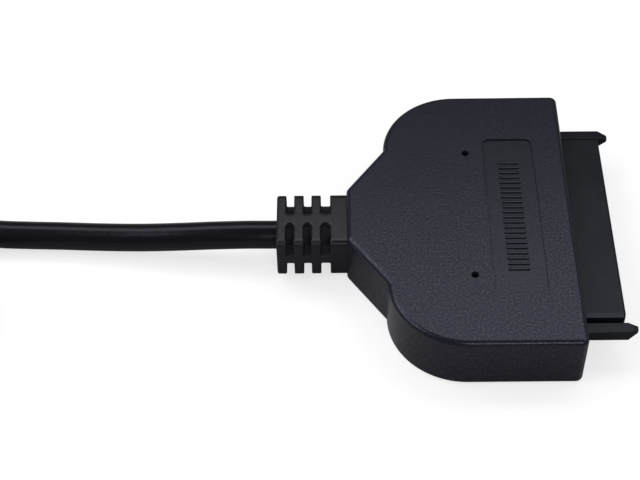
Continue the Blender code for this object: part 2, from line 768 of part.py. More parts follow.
def make_plug(finishes):
    neck = GRIP_NECK_DIAMETER
    rear = neck - GRIP_NECK_DRAFT
    neck_end = PLUG_REAR_X - GRIP_NECK_LENGTH
    back = (GRIP_WIDTH - GRIP_BACK_NARROWING, GRIP_HEIGHT - GRIP_BACK_STEP)
    front = (GRIP_WIDTH - GRIP_FRONT_NARROWING, GRIP_HEIGHT - GRIP_FRONT_NARROWING)
    rows = (
        (PLUG_REAR_X, rear, rear, (rear - GRIP_NECK_FLAT) / 2),
        (neck_end, neck, neck, (neck - GRIP_NECK_FLAT) / 2),
        (neck_end - GRIP_BACK_STEP, *back, GRIP_CORNER),
        (neck_end - GRIP_BACK_LENGTH, GRIP_WIDTH, GRIP_HEIGHT, GRIP_CORNER),
        (GRIP_FRONT_X + GRIP_FRONT_LENGTH, GRIP_WIDTH, GRIP_HEIGHT, GRIP_CORNER),
        (GRIP_FRONT_X, *front, GRIP_CORNER),
    )
    grip = add(
        "usb_plug_grip",
        loft([across(plug_section(width, height, corner), x) for x, width, height, corner in rows]),
        finishes["grip"],
    )
    seat = plug_section(SHELL_WIDTH + 2 * FIT_GAP, SHELL_HEIGHT + 2 * FIT_GAP, SHELL_CORNER + FIT_GAP)
    cut(grip, bar(seat, GRIP_FRONT_X - BODY_WALL, SHELL_REAR_X + FIT_GAP), "seat_tool")

    outer = plug_section(SHELL_WIDTH, SHELL_HEIGHT, SHELL_CORNER)
    inner_width, inner_height = SHELL_WIDTH - 2 * SHELL_WALL, SHELL_HEIGHT - 2 * SHELL_WALL
    inner = plug_section(inner_width, inner_height, SHELL_CORNER - SHELL_WALL)
    folded = loft(
        [across(outer, SHELL_REAR_X), across(outer, SHELL_FRONT_X),
         across(inner, SHELL_FRONT_X), across(inner, SHELL_REAR_X)],
        ring=True,
    )
    shell = add("usb_plug_shell", folded, finishes["steel"])
    window_x = GRIP_FRONT_X - SHELL_WINDOW_REACH
    windows = [
        block(
            (window_x - SHELL_WINDOW_LENGTH / 2, window_x + SHELL_WINDOW_LENGTH / 2),
            (PLUG_Y + side * SHELL_WINDOW_SPACING / 2 - SHELL_WINDOW_WIDTH / 2,
             PLUG_Y + side * SHELL_WINDOW_SPACING / 2 + SHELL_WINDOW_WIDTH / 2),
            (PLUG_Z - SHELL_HEIGHT, PLUG_Z + SHELL_HEIGHT),
        )
        for side in (-1, 1)
    ]
    cut(shell, joined(windows), "window_tool")

    half = inner_width / 2 - CONTACT_GAP
    low = PLUG_Z - inner_height / 2 + CONTACT_GAP
    base = block(
        (SHELL_REAR_X - TONGUE_BASE_LENGTH, SHELL_REAR_X - CONTACT_GAP),
        (PLUG_Y - half, PLUG_Y + half),
        (low, PLUG_Z + inner_height / 2 - CONTACT_GAP),
    )
    tongue = block(
        (SHELL_FRONT_X + TONGUE_RECESS, SHELL_REAR_X - TONGUE_BASE_LENGTH / 2),
        (PLUG_Y - half, PLUG_Y + half),
        (low, low + TONGUE_THICKNESS),
    )
    insulator = add("usb_plug_insulator", base, finishes["insulator"])
    fuse(insulator, tongue, "tongue_tool")

    contact_z = low + TONGUE_THICKNESS + CONTACT_GAP + USB_CONTACT_THICKNESS / 2
    front = SHELL_FRONT_X + TONGUE_RECESS + USB_CONTACT_RECESS
    for i, y in enumerate(USB_CONTACT_Y):
        line = [(front, contact_z), (front + USB_CONTACT_LENGTH, contact_z)]
        centre = PLUG_Y + y
        sides = (centre - USB_CONTACT_WIDTH / 2, centre + USB_CONTACT_WIDTH / 2)
        shape = strip(line, USB_CONTACT_THICKNESS, *sides)
        add(f"usb_contact_{i + 1}", shape, finishes["gold"])
    rear = SHELL_REAR_X - TONGUE_BASE_LENGTH - 2 * CONTACT_GAP
    line = [
        (rear - FAST_CONTACT_LENGTH, contact_z),
        (rear - FAST_CONTACT_CREST[0] * FAST_CONTACT_LENGTH, contact_z + FAST_CONTACT_RISE),
        (rear - FAST_CONTACT_CREST[1] * FAST_CONTACT_LENGTH, contact_z + FAST_CONTACT_RISE),
        (rear, contact_z),
    ]
    for i in range(FAST_CONTACT_COUNT):
        centre = PLUG_Y + (i - (FAST_CONTACT_COUNT - 1) / 2) * FAST_CONTACT_PITCH
        sides = (centre - FAST_CONTACT_WIDTH / 2, centre + FAST_CONTACT_WIDTH / 2)
        shape = strip(line, USB_CONTACT_THICKNESS, *sides)
        add(f"fast_contact_{i + 1}", shape, finishes["gold"])


def main():
    clear_scene()
    black = material("matt_black_moulding", (0.045, 0.045, 0.052), 0.6)
    jacket = material("cable_jacket", (0.02, 0.02, 0.022), 0.45)
    gold = material("gold_plate", (0.75, 0.55, 0.25), 0.3, 1.0)
    make_overmould(black)
    make_inner_mould(material("inner_mould", (0.35, 0.34, 0.3), 0.6))
    make_receptacle(material("connector_plastic", (0.03, 0.03, 0.033), 0.45))
    make_contacts(gold)
    make_board({
        "board": material("board_laminate", (0.02, 0.14, 0.06), 0.5),
        "chip": material("chip_resin", (0.03, 0.03, 0.03), 0.5),
        "tin": material("tin_can", (0.7, 0.7, 0.68), 0.35, 1.0),
        "ceramic": material("capacitor_ceramic", (0.45, 0.33, 0.2), 0.5),
        "ferrite": material("ferrite", (0.12, 0.12, 0.12), 0.7),
    })
    make_cores(material("core_insulation", (0.5, 0.5, 0.48), 0.45))
    tube("cable", smooth_line(CABLE_ROUTE, CABLE_POINT_SPACING), CABLE_DIAMETER, jacket)
    tube("cable_tail", smooth_line(TAIL_ROUTE, TAIL_POINT_SPACING), CABLE_DIAMETER, jacket)
    make_coil(jacket, material("tie_strap", (0.03, 0.03, 0.03), 0.8))
    make_plug({
        "grip": black,
        "steel": material("plug_steel", (0.72, 0.72, 0.72), 0.3, 1.0),
        "insulator": material("plug_insulator", (0.02, 0.12, 0.5), 0.5),
        "gold": gold,
    })


main()
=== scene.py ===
import math

import bmesh
import bpy
import numpy as np
from mathutils import Matrix, Vector


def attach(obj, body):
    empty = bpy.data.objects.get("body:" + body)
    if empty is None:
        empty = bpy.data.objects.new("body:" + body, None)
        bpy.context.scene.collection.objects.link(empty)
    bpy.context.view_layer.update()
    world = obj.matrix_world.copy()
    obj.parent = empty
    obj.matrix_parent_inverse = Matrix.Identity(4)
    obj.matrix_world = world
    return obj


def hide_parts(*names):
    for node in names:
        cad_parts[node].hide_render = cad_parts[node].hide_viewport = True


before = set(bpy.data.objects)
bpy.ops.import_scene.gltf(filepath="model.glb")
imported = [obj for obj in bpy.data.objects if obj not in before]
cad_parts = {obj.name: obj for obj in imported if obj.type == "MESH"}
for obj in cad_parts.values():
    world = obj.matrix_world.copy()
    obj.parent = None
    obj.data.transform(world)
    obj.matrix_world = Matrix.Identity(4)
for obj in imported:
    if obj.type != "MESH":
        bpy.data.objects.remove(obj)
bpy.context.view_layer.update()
mm = 0.001
over = 1.0  # how far a cutting tool stands out of its piece, in millimetres
weld = 1e-4  # points closer than this are one
near = 1e-3  # a point this close to a plane is on it
print("frame loaded:", len(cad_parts), "nodes")

# Camera, at the angle the photograph was taken from. Places in millimetres.
cameraSettings = {
    "place": (-17.03, -152.15, 184.99),
    "right": (0.99987, 0.00014, -0.01596),
    "up": (0.01015, 0.76614, 0.64259),
    "back": (0.01232, -0.64267, 0.76604),
    "lens": 85.17,
    "sensor": 36.0,
}


def makeCamera():
    data = bpy.data.cameras.new("camera")
    data.lens = cameraSettings["lens"]
    data.sensor_width = cameraSettings["sensor"]
    data.clip_start, data.clip_end = 0.01, 10
    turn = Matrix([cameraSettings[axis] for axis in ("right", "up", "back")]).transposed()
    camera = bpy.data.objects.new("camera", data)
    bpy.context.collection.objects.link(camera)
    camera.matrix_world = Matrix.Translation(Vector(cameraSettings["place"]) * mm) @ turn.to_4x4()
    bpy.context.scene.camera = camera


makeCamera()
print("camera set")


# Shader tools
class Value:
    # a socket in an expression; operators on it add Math nodes
    def __init__(self, finish, socket):
        self.finish, self.socket = finish, socket

    def math(self, operation, *values):
        return self.finish.node("ShaderNodeMath", {"operation": operation}, dict(enumerate(values)))[0]

    def __add__(self, other): return self.math("ADD", self, other)
    def __radd__(self, other): return self.math("ADD", other, self)
    def __sub__(self, other): return self.math("SUBTRACT", self, other)
    def __rsub__(self, other): return self.math("SUBTRACT", other, self)
    def __mul__(self, other): return self.math("MULTIPLY", self, other)
    def __rmul__(self, other): return self.math("MULTIPLY", other, self)

    def ramp(self, low, high):
        # 0 below low, 1 above high, smooth between
        settings = {"interpolation_type": "SMOOTHSTEP"}
        return self.finish.node("ShaderNodeMapRange", settings, {0: self, 1: low, 2: high})[0]


class Node:
    def __init__(self, finish, node):
        self.finish, self.node = finish, node

    def __getitem__(self, output):
        return Value(self.finish, self.node.outputs[output])


class Finish:
    # one procedural material; patterns are laid out in millimetres on the object
    def __init__(self, name, **constants):
        self.material = bpy.data.materials.new(name)
        self.material.use_nodes = True
        self.tree = self.material.node_tree
        self.shader = self.tree.nodes["Principled BSDF"]
        for socket, value in constants.items():
            self.shader.inputs[socket.replace("_", " ")].default_value = value
        place = self.node("ShaderNodeTexCoord")["Object"]
        sockets = {"Vector": place, "Scale": (1 / mm, 1 / mm, 1 / mm)}
        self.place = self.node("ShaderNodeMapping", {}, sockets)["Vector"]

    def node(self, kind, settings=None, sockets=None):
        # a socket takes a value, or a link where it is given a Value
        made = self.tree.nodes.new(kind)
        for name, value in (settings or {}).items():
            setattr(made, name, value)
        for name, value in (sockets or {}).items():
            if isinstance(value, Value):
                self.tree.links.new(value.socket, made.inputs[name])
            else:
                made.inputs[name].default_value = value
        return Node(self, made)

    def noise(self, scale, detail=2.0, roughness=0.5, stretch=None):
        place = self.place
        if stretch:
            place = self.node("ShaderNodeMapping", {}, {"Vector": place, "Scale": stretch})["Vector"]
        sockets = {"Vector": place, "Scale": scale, "Detail": detail, "Roughness": roughness}
        return self.node("ShaderNodeTexNoise", {}, sockets)[0]

    def waves(self, direction, scale):
        sockets = {"Vector": self.place, "Scale": scale}
        return self.node("ShaderNodeTexWave", {"bands_direction": direction}, sockets)["Fac"]

    def blend(self, factor, first, second):
        first, second = (value if isinstance(value, Value) else (*value, 1.0) for value in (first, second))
        return self.node("ShaderNodeMix", {"data_type": "RGBA"}, {0: factor, 6: first, 7: second})[2]

    def feed(self, **inputs):
        for socket, value in inputs.items():
            self.tree.links.new(value.socket, self.shader.inputs[socket.replace("_", " ")])

    def bump(self, *layers):
        # each layer is a height of 0 to 1 and its depth in millimetres
        normal = None
        for height, depth in layers:
            sockets = {"Height": height, "Distance": depth * mm, "Strength": 1.0}
            if normal:
                sockets["Normal"] = normal
            normal = self.node("ShaderNodeBump", {}, sockets)["Normal"]
        self.feed(Normal=normal)


# Mesh tools. Pieces are made in millimetres and scaled to metres when they are finished.
def shapeObject(name, shape):
    mesh = bpy.data.meshes.new(name)
    shape.to_mesh(mesh)
    shape.free()
    made = bpy.data.objects.new(name, mesh)
    bpy.context.collection.objects.link(made)
    return made


def settle(piece):
    # bakes the modifiers into the mesh
    graph = bpy.context.evaluated_depsgraph_get()
    mesh = bpy.data.meshes.new_from_object(piece.evaluated_get(graph), depsgraph=graph)
    piece.modifiers.clear()
    piece.data = mesh


def carve(piece, tools, operation="DIFFERENCE"):
    helpers = [shapeObject("tool", tool) for tool in tools]
    for helper in helpers:
        modifier = piece.modifiers.new("carve", "BOOLEAN")
        modifier.operation, modifier.object = operation, helper
    settle(piece)
    for helper in helpers:
        bpy.data.objects.remove(helper)


def reshape(piece, change):
    # runs change(shape) on the piece's mesh
    shape = bmesh.new()
    shape.from_mesh(piece.data)
    change(shape)
    shape.to_mesh(piece.data)
    shape.free()


def evenSkin(piece, voxel, smoothing):
    # one skin over all the joins, with the sharp edges worn soft
    skin = piece.modifiers.new("even skin", "REMESH")
    skin.mode, skin.voxel_size = "VOXEL", voxel
    soft = piece.modifiers.new("soft edges", "SMOOTH")
    soft.factor, soft.iterations = 0.5, smoothing
    settle(piece)


def vertsOf(parts):
    return [part for part in parts if isinstance(part, bmesh.types.BMVert)]


def roundEdges(shape, edges, radius, segments=3, clamp=False):
    bmesh.ops.bevel(
        shape, geom=list(edges), offset=radius, offset_type="OFFSET", segments=segments, profile=0.5,
        affect="EDGES", clamp_overlap=clamp, material=-1,
    )


def rise(edge):
    # the edge's direction, as sizes along X, Y and Z
    run = edge.verts[1].co - edge.verts[0].co
    return Vector((abs(run.x), abs(run.y), abs(run.z))) / max(run.length, 1e-9)


def rimsOn(shape, where):
    # the sharp edges, past about 60 degrees, whose two ends are where they are asked for
    return [edge for edge in shape.edges if all(where(v) for v in edge.verts) and edge.calc_face_angle(0) > 1]


def roundBox(low, high, corner=0.0, endCorner=0.0, along="x", segments=4):
    # a box whose edges along one axis are rounded by corner, and the others by endCorner
    shape = bmesh.new()
    bmesh.ops.create_cube(shape, size=1)
    low, high = Vector(low), Vector(high)
    bmesh.ops.scale(shape, vec=high - low, verts=shape.verts)
    bmesh.ops.translate(shape, vec=(low + high) / 2, verts=shape.verts)
    if corner:
        long = [edge for edge in shape.edges if getattr(rise(edge), along) > 0.99]
        roundEdges(shape, long, corner, segments)
    if endCorner:
        ends = [edge for edge in shape.edges if getattr(rise(edge), along) < 0.01]
        roundEdges(shape, ends, endCorner, 2)
    return shape


def drum(radius, depth, centre, axis="Z", segments=48):
    shape = bmesh.new()
    turn = Matrix.Rotation(math.pi / 2, 4, "Y") if axis == "X" else Matrix()
    bmesh.ops.create_cone(
        shape, cap_ends=True, segments=segments, radius1=radius, radius2=radius, depth=depth,
        matrix=Matrix.Translation(centre) @ turn,
    )
    return shape


def together(shapes):
    # shapes that don't meet, as one tool
    mesh = bpy.data.meshes.new("together")
    whole = bmesh.new()
    for shape in shapes:
        shape.to_mesh(mesh)
        whole.from_mesh(mesh)
        shape.free()
    bpy.data.meshes.remove(mesh)
    return whole


def finishPiece(piece, finishes, sharp=30, weighted=True):
    # to metres, with its finishes, sharp edges past an angle in degrees, and its slot
    piece.data.transform(Matrix.Scale(mm, 4))
    for finish in finishes:
        piece.data.materials.append(finish.material)
    piece.data.shade_smooth()
    piece.data.set_sharp_from_angle(angle=math.radians(sharp))
    if weighted:
        modifier = piece.modifiers.new("flat faces stay flat", "WEIGHTED_NORMAL")
        modifier.keep_sharp = True
    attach(piece, "root")


# Finishes of the black plastics
def makeMoulding(name, tint, low, high, sparkle):
    finish = Finish(name, Specular_IOR_Level=0.24, Specular_Tint=(*tint, 1), Coat_Roughness=0.18)
    broad = finish.noise(0.11, 3.0)
    grain = finish.noise(2.9, 3.0, 0.7)
    specks = finish.noise(2.1, 2.0, 0.6).ramp(0.62, 0.78)
    base = finish.blend(broad, low, high)
    base = finish.blend(specks * sparkle, base, (0.045, 0.045, 0.062))
    finish.feed(
        Base_Color=base, Roughness=0.13 + grain * 0.10 - specks * 0.03,
        Coat_Weight=grain.ramp(0.44, 0.68) * sparkle,
    )
    finish.bump((grain, 0.05 * sparkle), (finish.noise(0.5, 2.0), 0.01))
    return finish


def makePocketFinish():
    finish = Finish("matt inside of the strain relief's pockets", Specular_IOR_Level=0.3)
    grain = finish.noise(3.0, 2.0)
    finish.feed(Base_Color=finish.blend(grain, (0.0150, 0.0145, 0.0200), (0.0190, 0.0180, 0.0250)),
                Roughness=0.60 + grain * 0.15)
    return finish


def makeHousingPlastic():
    finish = Finish("glass-filled housing plastic", Specular_IOR_Level=0.15, Specular_Tint=(0.82, 0.86, 1, 1))
    grain = finish.noise(2.4, 3.0, 0.6)
    flow = finish.noise(0.5, 3.0, 0.5, (1.0, 0.25, 1.0))
    scuffs = finish.noise(1.0, 4.0, 0.7, (4.0, 0.5, 1.0)).ramp(0.66, 0.82)
    clouds = finish.noise(0.16, 4.0, 0.6).ramp(0.35, 0.65)
    base = finish.blend(flow * 0.4 + clouds * 0.6, (0.0060, 0.0066, 0.0092), (0.0115, 0.0122, 0.0155))
    base = finish.blend(scuffs * 0.35, base, (0.030, 0.031, 0.036))
    finish.feed(Base_Color=base, Roughness=0.18 + grain * 0.08 + scuffs * 0.10)
    finish.bump((grain, 0.006), (flow, 0.02))
    return finish


def makeJacket():
    finish = Finish("soft cable jacket", Specular_IOR_Level=0.30, Specular_Tint=(0.85, 0.82, 1, 1))
    grain = finish.noise(1.6, 3.0, 0.6)
    wave = finish.noise(0.25, 2.0)
    base = finish.blend(wave, (0.0035, 0.0033, 0.0050), (0.0048, 0.0046, 0.0066))
    finish.feed(Base_Color=base, Roughness=0.21 + grain * 0.08)
    finish.bump((grain, 0.004), (wave, 0.12))
    return finish


moulding = makeMoulding("spark-grained black moulding", (0.68, 0.67, 1.0),
                        (0.0115, 0.0120, 0.0175), (0.0150, 0.0153, 0.0225), 0.44)
smoothMoulding = makeMoulding("smoother moulding of the strain relief", (0.92, 0.90, 1.0),
                              (0.0110, 0.0108, 0.0132), (0.0135, 0.0133, 0.0165), 0.16)
recessFloor = makeMoulding("smoother floor of the recess", (0.74, 0.75, 1.0),
                           (0.0120, 0.0126, 0.0168), (0.0145, 0.0150, 0.0205), 0.26)
pocketFinish = makePocketFinish()
housingPlastic = makeHousingPlastic()
jacket = makeJacket()
print("black plastics made")

# Cable: the route of the CAD, in millimetres, then three turns of coil, then the tail to the plug
cableSettings = {
    "diameter": 4.4,
    "length": 500.0,
    "exit": (-26.56, 0.0, 5.0),
    "route": (
        (-11.5, 0.0, 5.0), (-19.0, 0.0, 5.0), (-26.6, 0.03, 5.0), (-31.5, 0.16, 4.9), (-36.5, 0.37, 4.55),
        (-42.0, 0.69, 3.95), (-48.3, 1.28, 3.15), (-54.8, 1.95, 2.58), (-61.0, 2.5, 2.3), (-66.0, 2.75, 2.24),
        (-71.0, 3.05, 2.24), (-77.0, 3.95, 2.24),
    ),
    "coilCentre": (-98.0, -14.2),
    # angle in degrees, radius, height of the cable's middle over the lowest turn's
    "turns": (
        (70, 23.16, 0.0), (330, 23.16, 0.0), (422, 18.75, 0.0), (690, 18.75, 0.0), (718, 17.0, 1.7),
        (748, 16.4, 3.95), (814, 16.4, 3.95), (828, 17.1, 4.35), (845, 18.55, 4.7), (864, 20.0, 4.5),
        (888, 21.0, 3.87), (1038, 21.0, 3.87), (1060, 21.0, 4.5), (1170, 21.0, 4.5),
    ),
    "restHeight": 2.23,
    "angleStep": 2.0, "angleSoftening": 6, "pointEvery": 4, "spacing": 1.5, "roundness": 8,
    "strapAngle": 215.0,
    "strapLift": 0.55,
    "strapReach": 70.0,
    "strapTurns": ((23.16, 0.0), (21.0, 3.87), (18.75, 0.0)),
    "tail": (
        (-105.0, 6.8, 6.8), (-109.5, 6.8, 6.88), (-113.6, 6.8, 6.65), (-117.5, 6.8, 5.95),
        (-121.0, 6.8, 4.85), (-125.3, 6.8, 4.1), (-129.0, 6.8, 4.0),
    ),
}


def smoothLine(points, spacing, steps=12):
    # points at an even spacing on a smooth curve through the given ones
    points = [Vector(point) for point in points]
    ends = [2 * points[0] - points[1], *points, 2 * points[-1] - points[-2]]
    fine = []
    for a, b, c, d in zip(ends, ends[1:], ends[2:], ends[3:]):
        for t in np.linspace(0, 1, steps, endpoint=False):
            fine.append(0.5 * (2 * b + (c - a) * t + (2 * a - 5 * b + 4 * c - d) * t**2
                               + (3 * b - a - 3 * c + d) * t**3))
    fine = np.array([*fine, points[-1]])
    along = np.concatenate([[0], np.cumsum(np.linalg.norm(np.diff(fine, axis=0), axis=1))])
    stops = np.linspace(0, along[-1], round(along[-1] / spacing) + 1)
    return [Vector([np.interp(s, along, fine[:, k]) for k in range(3)]) for s in stops]


def strapLift(degrees):
    # the turns rise a little where the strap passes under them
    away = abs((degrees - cableSettings["strapAngle"] + 180) % 360 - 180) / cableSettings["strapReach"]
    return cableSettings["strapLift"] * math.cos(min(away, 1) * math.pi / 2) ** 2


def coilLine():
    turns, soft = np.array(cableSettings["turns"]), cableSettings["angleSoftening"]
    angles = np.arange(turns[0, 0], turns[-1, 0] + 1, cableSettings["angleStep"])
    window = np.hanning(2 * soft + 1) / np.hanning(2 * soft + 1).sum()
    radii, heights = (
        np.convolve(np.pad(np.interp(angles, turns[:, 0], turns[:, k]), soft, mode="edge"), window, "valid")
        for k in (1, 2)
    )
    x, y = cableSettings["coilCentre"]
    every = cableSettings["pointEvery"]
    return [
        Vector((x + r * math.cos(math.radians(a)), y + r * math.sin(math.radians(a)),
                cableSettings["restHeight"] + h + strapLift(a)))
        for a, r, h in zip(angles[::every], radii[::every], heights[::every])
    ]


def makeCable():
    line = [*cableSettings["route"], *coilLine(), *cableSettings["tail"]]
    points = smoothLine(line, cableSettings["spacing"])
    data = bpy.data.curves.new("cableJacket", "CURVE")
    data.dimensions = "3D"
    data.bevel_depth = cableSettings["diameter"] / 2 * mm
    data.bevel_resolution = cableSettings["roundness"]
    data.use_fill_caps = True
    spline = data.splines.new("POLY")
    spline.points.add(len(points) - 1)
    for spot, point in zip(spline.points, points):
        spot.co = (*(point * mm), 1.0)
    data.materials.append(jacket.material)
    cable = bpy.data.objects.new("cableJacket", data)
    bpy.context.collection.objects.link(cable)
    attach(cable, "root")
    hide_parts("cable", "cable_coil", "cable_tail")
    return cable


cable = makeCable()
print("cable laid")

# Outer moulding
bodySettings = {
    "width": 50.0, "height": 10.0, "front": 18.7, "tail": -15.75,
    "edge": 0.8, "frontCorner": 1.1, "shoulderX": 1.8, "shoulder": 11.65, "taper": 35.4, "tailCorner": 1.2,
    "smallestCorner": 0.2, "frontSteps": 8, "shoulderSteps": 28, "tailSteps": 6, "edgeSteps": 7,
    "wall": 1.8, "cavityFront": 13.7, "boreRadius": 2.4, "boreX": -13.75, "boreLength": 8.0,
    "mouthWidth": 41.5, "mouthHeight": 5.1, "mouthCorner": 0.4,
    "pinHoleX": 3.1, "pinHoleY": 12.3, "pinHoleRadius": 0.575, "pinHoleDepth": 1.4,
    "recessX": (5.85, 13.75), "recessY": (-15.7, 15.3), "recessDepth": 0.3, "recessCorner": 1.2,
    "rimRadius": 0.07,
}


def bodyPlan(inset, front):
    # the plan as one face at height 0, moved in by inset
    sizes = bodySettings
    shape = bmesh.new()

    def run(start, x, y):
        end = shape.verts.new((x, y, 0))
        shape.edges.new((start, end))
        return end

    def sweep(start, x, y, degrees, steps):
        made = bmesh.ops.spin(
            shape, geom=[start], cent=(x, y, 0), axis=(0, 0, 1), angle=math.radians(degrees), steps=steps,
        )
        return vertsOf(made["geom_last"])[0]

    side = sizes["width"] / 2 - inset
    corner = max(sizes["frontCorner"] - inset, sizes["smallestCorner"])
    shoulder = sizes["shoulder"] - inset
    shoulderY = sizes["width"] / 2 - sizes["shoulder"]
    taper = math.radians(sizes["taper"])
    creaseX, creaseY = sizes["shoulderX"] - shoulder, shoulderY - inset * math.tan(taper / 2)
    tail = sizes["tail"] + inset
    tailY = creaseY - (creaseX - tail) / math.tan(taper)
    bend = max(sizes["tailCorner"] - inset, sizes["smallestCorner"])
    bendX, bendY = tail + bend, tailY - bend * math.tan(taper / 2)

    spot = run(shape.verts.new((front, 0, 0)), front, side - corner)
    spot = sweep(spot, front - corner, side - corner, 90, sizes["frontSteps"])
    spot = run(spot, sizes["shoulderX"], side)
    spot = sweep(spot, sizes["shoulderX"], shoulderY, 90, sizes["shoulderSteps"])
    if inset:
        spot = run(spot, creaseX, creaseY)
    spot = run(spot, bendX - bend * math.cos(taper), bendY + bend * math.sin(taper))
    spot = sweep(spot, bendX, bendY, sizes["taper"], sizes["tailSteps"])
    run(spot, tail, 0)
    bmesh.ops.mirror(shape, geom=[*shape.verts, *shape.edges], axis="Y", merge_dist=weld)
    bmesh.ops.remove_doubles(shape, verts=shape.verts, dist=weld)
    bmesh.ops.contextual_create(shape, geom=shape.edges[:])
    return shape


def bodyBlock(inset, front, low, high):
    # the plan, stood up between two heights
    shape = bodyPlan(inset, front)
    bmesh.ops.translate(shape, verts=shape.verts, vec=(0, 0, low))
    top = bmesh.ops.extrude_face_region(shape, geom=shape.faces[:])["geom"]
    bmesh.ops.translate(shape, verts=vertsOf(top), vec=(0, 0, high - low))
    bmesh.ops.recalc_face_normals(shape, faces=shape.faces)
    return shape


def makeBody():
    sizes = bodySettings
    height, middle, wall = sizes["height"], sizes["height"] / 2, sizes["wall"]
    shape = bodyBlock(0, sizes["front"], 0, height)
    flat = [edge for edge in shape.edges if rise(edge).z < 0.01]
    roundEdges(shape, flat, sizes["edge"], sizes["edgeSteps"])
    body = shapeObject("bodyMoulding", shape)
    halfWidth, halfHeight = sizes["mouthWidth"] / 2, sizes["mouthHeight"] / 2
    mouth = roundBox((sizes["cavityFront"] - wall, -halfWidth, middle - halfHeight),
                     (sizes["front"] + wall, halfWidth, middle + halfHeight), sizes["mouthCorner"])
    bore = drum(sizes["boreRadius"], sizes["boreLength"], (sizes["boreX"], 0, middle), "X")
    holes = together([
        drum(sizes["pinHoleRadius"], 2 * sizes["pinHoleDepth"], (sizes["pinHoleX"], y, height))
        for y in (-sizes["pinHoleY"], sizes["pinHoleY"])
    ])
    (backX, frontX), (nearY, farY) = sizes["recessX"], sizes["recessY"]
    floor = height - sizes["recessDepth"]
    recess = roundBox((backX, nearY, floor), (frontX, farY, height + over), sizes["recessCorner"],
                      along="z", segments=8)
    carve(body, [bodyBlock(wall, sizes["cavityFront"], wall, height - wall), mouth, bore, holes, recess])

    def softenRims(shape):
        def onTop(vertex):
            x, y = vertex.co.x, vertex.co.y
            inRecess = backX - 0.01 < x < frontX + 0.01 and nearY - 0.01 < y < farY + 0.01
            hole = math.hypot(x - sizes["pinHoleX"], abs(y) - sizes["pinHoleY"])
            return abs(vertex.co.z - height) < near and (inRecess or hole < 2 * sizes["pinHoleRadius"])

        def onFront(vertex):
            inside = abs(vertex.co.y) < halfWidth + 0.01 and abs(vertex.co.z - middle) < halfHeight + 0.01
            return abs(vertex.co.x - sizes["front"]) < near and inside

        for where in (onTop, onFront):
            roundEdges(shape, rimsOn(shape, where), sizes["rimRadius"], 2)
        for face in shape.faces:
            if abs(face.calc_center_median().z - floor) < near and face.normal.z > 0.9:
                face.material_index = 1

    reshape(body, softenRims)
    finishPiece(body, [moulding, recessFloor])
    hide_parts("overmould")


# Plain raised bars in the recess
barSettings = {
    "count": 22, "from": -11.1, "to": 10.3, "x": (8.1, 11.4), "width": 0.45, "height": 0.22,
    "corner": 0.2, "edge": 0.08, "sunk": 0.1,
}


def makeRecessBars():
    sizes = barSettings
    floor = bodySettings["height"] - bodySettings["recessDepth"]
    bars = []
    for y in np.linspace(sizes["from"], sizes["to"], sizes["count"]):
        low = (sizes["x"][0], y - sizes["width"] / 2, floor - sizes["sunk"])
        high = (sizes["x"][1], y + sizes["width"] / 2, floor + sizes["height"])
        bars.append(roundBox(low, high, sizes["corner"], sizes["edge"], along="z", segments=3))
    piece = shapeObject("recessBars", together(bars))
    finishPiece(piece, [recessFloor])


# Strain relief: collar, three rings and four ribs round a core
reliefSettings = {
    "end": -26.56, "collarEnd": -14.9, "width": 10.3, "height": 7.7, "corner": 0.85, "endEdge": 0.25,
    "core": 2.95, "bore": 2.23, "ring": 1.48, "pockets": (1.19, 1.19, 1.43), "rib": 1.7,
    "pocketReach": 8.0, "voxel": 0.12, "smoothing": 5,
    # the pockets' matt finish stays under the outside, runs onto the ribs and ends before the collar by these
    "mattDepth": 0.12, "mattSpread": 0.06, "mattEnd": 3.0,
}


def makeRelief():
    sizes = reliefSettings
    middle = bodySettings["height"] / 2
    halfWidth, halfHeight, halfRib = sizes["width"] / 2, sizes["height"] / 2, sizes["rib"] / 2
    relief = shapeObject("strainRelief", roundBox(
        (sizes["end"], -halfWidth, middle - halfHeight), (sizes["collarEnd"], halfWidth, middle + halfHeight),
        sizes["corner"], sizes["endEdge"],
    ))
    pockets, start = [], sizes["end"]
    for length in sizes["pockets"]:
        start += sizes["ring"]
        for side in (-1, 1):
            for level in (-1, 1):
                ys = sorted((side * halfRib, side * sizes["pocketReach"]))
                zs = sorted((level * halfRib, level * sizes["pocketReach"]))
                pockets.append(roundBox(
                    (start, ys[0], middle + zs[0]), (start + length, ys[1], middle + zs[1]),
                    length / 2 - 0.02, along="z", segments=8,
                ))
        start += length
    length = sizes["collarEnd"] - sizes["end"]
    centre = (sizes["end"] + length / 2, 0, middle)
    carve(relief, [together(pockets)])
    carve(relief, [drum(sizes["core"], length - over, centre, "X", 96)], "UNION")
    carve(relief, [drum(sizes["bore"], length + 2 * over, centre, "X", 96)])
    evenSkin(relief, sizes["voxel"], sizes["smoothing"])

    def darkenPockets(shape):
        for face in shape.faces:
            x, y, z = face.calc_center_median()
            inside = max(abs(y) - halfWidth, abs(z - middle) - halfHeight) < -sizes["mattDepth"]
            offRibs = min(abs(y), abs(z - middle)) > halfRib - sizes["mattSpread"]
            if inside and offRibs and x < sizes["collarEnd"] - sizes["mattEnd"]:
                face.material_index = 1

    reshape(relief, darkenPockets)
    finishPiece(relief, [smoothMoulding, pocketFinish], sharp=180, weighted=False)


makeBody()
makeRecessBars()
makeRelief()
print("outer moulding made")

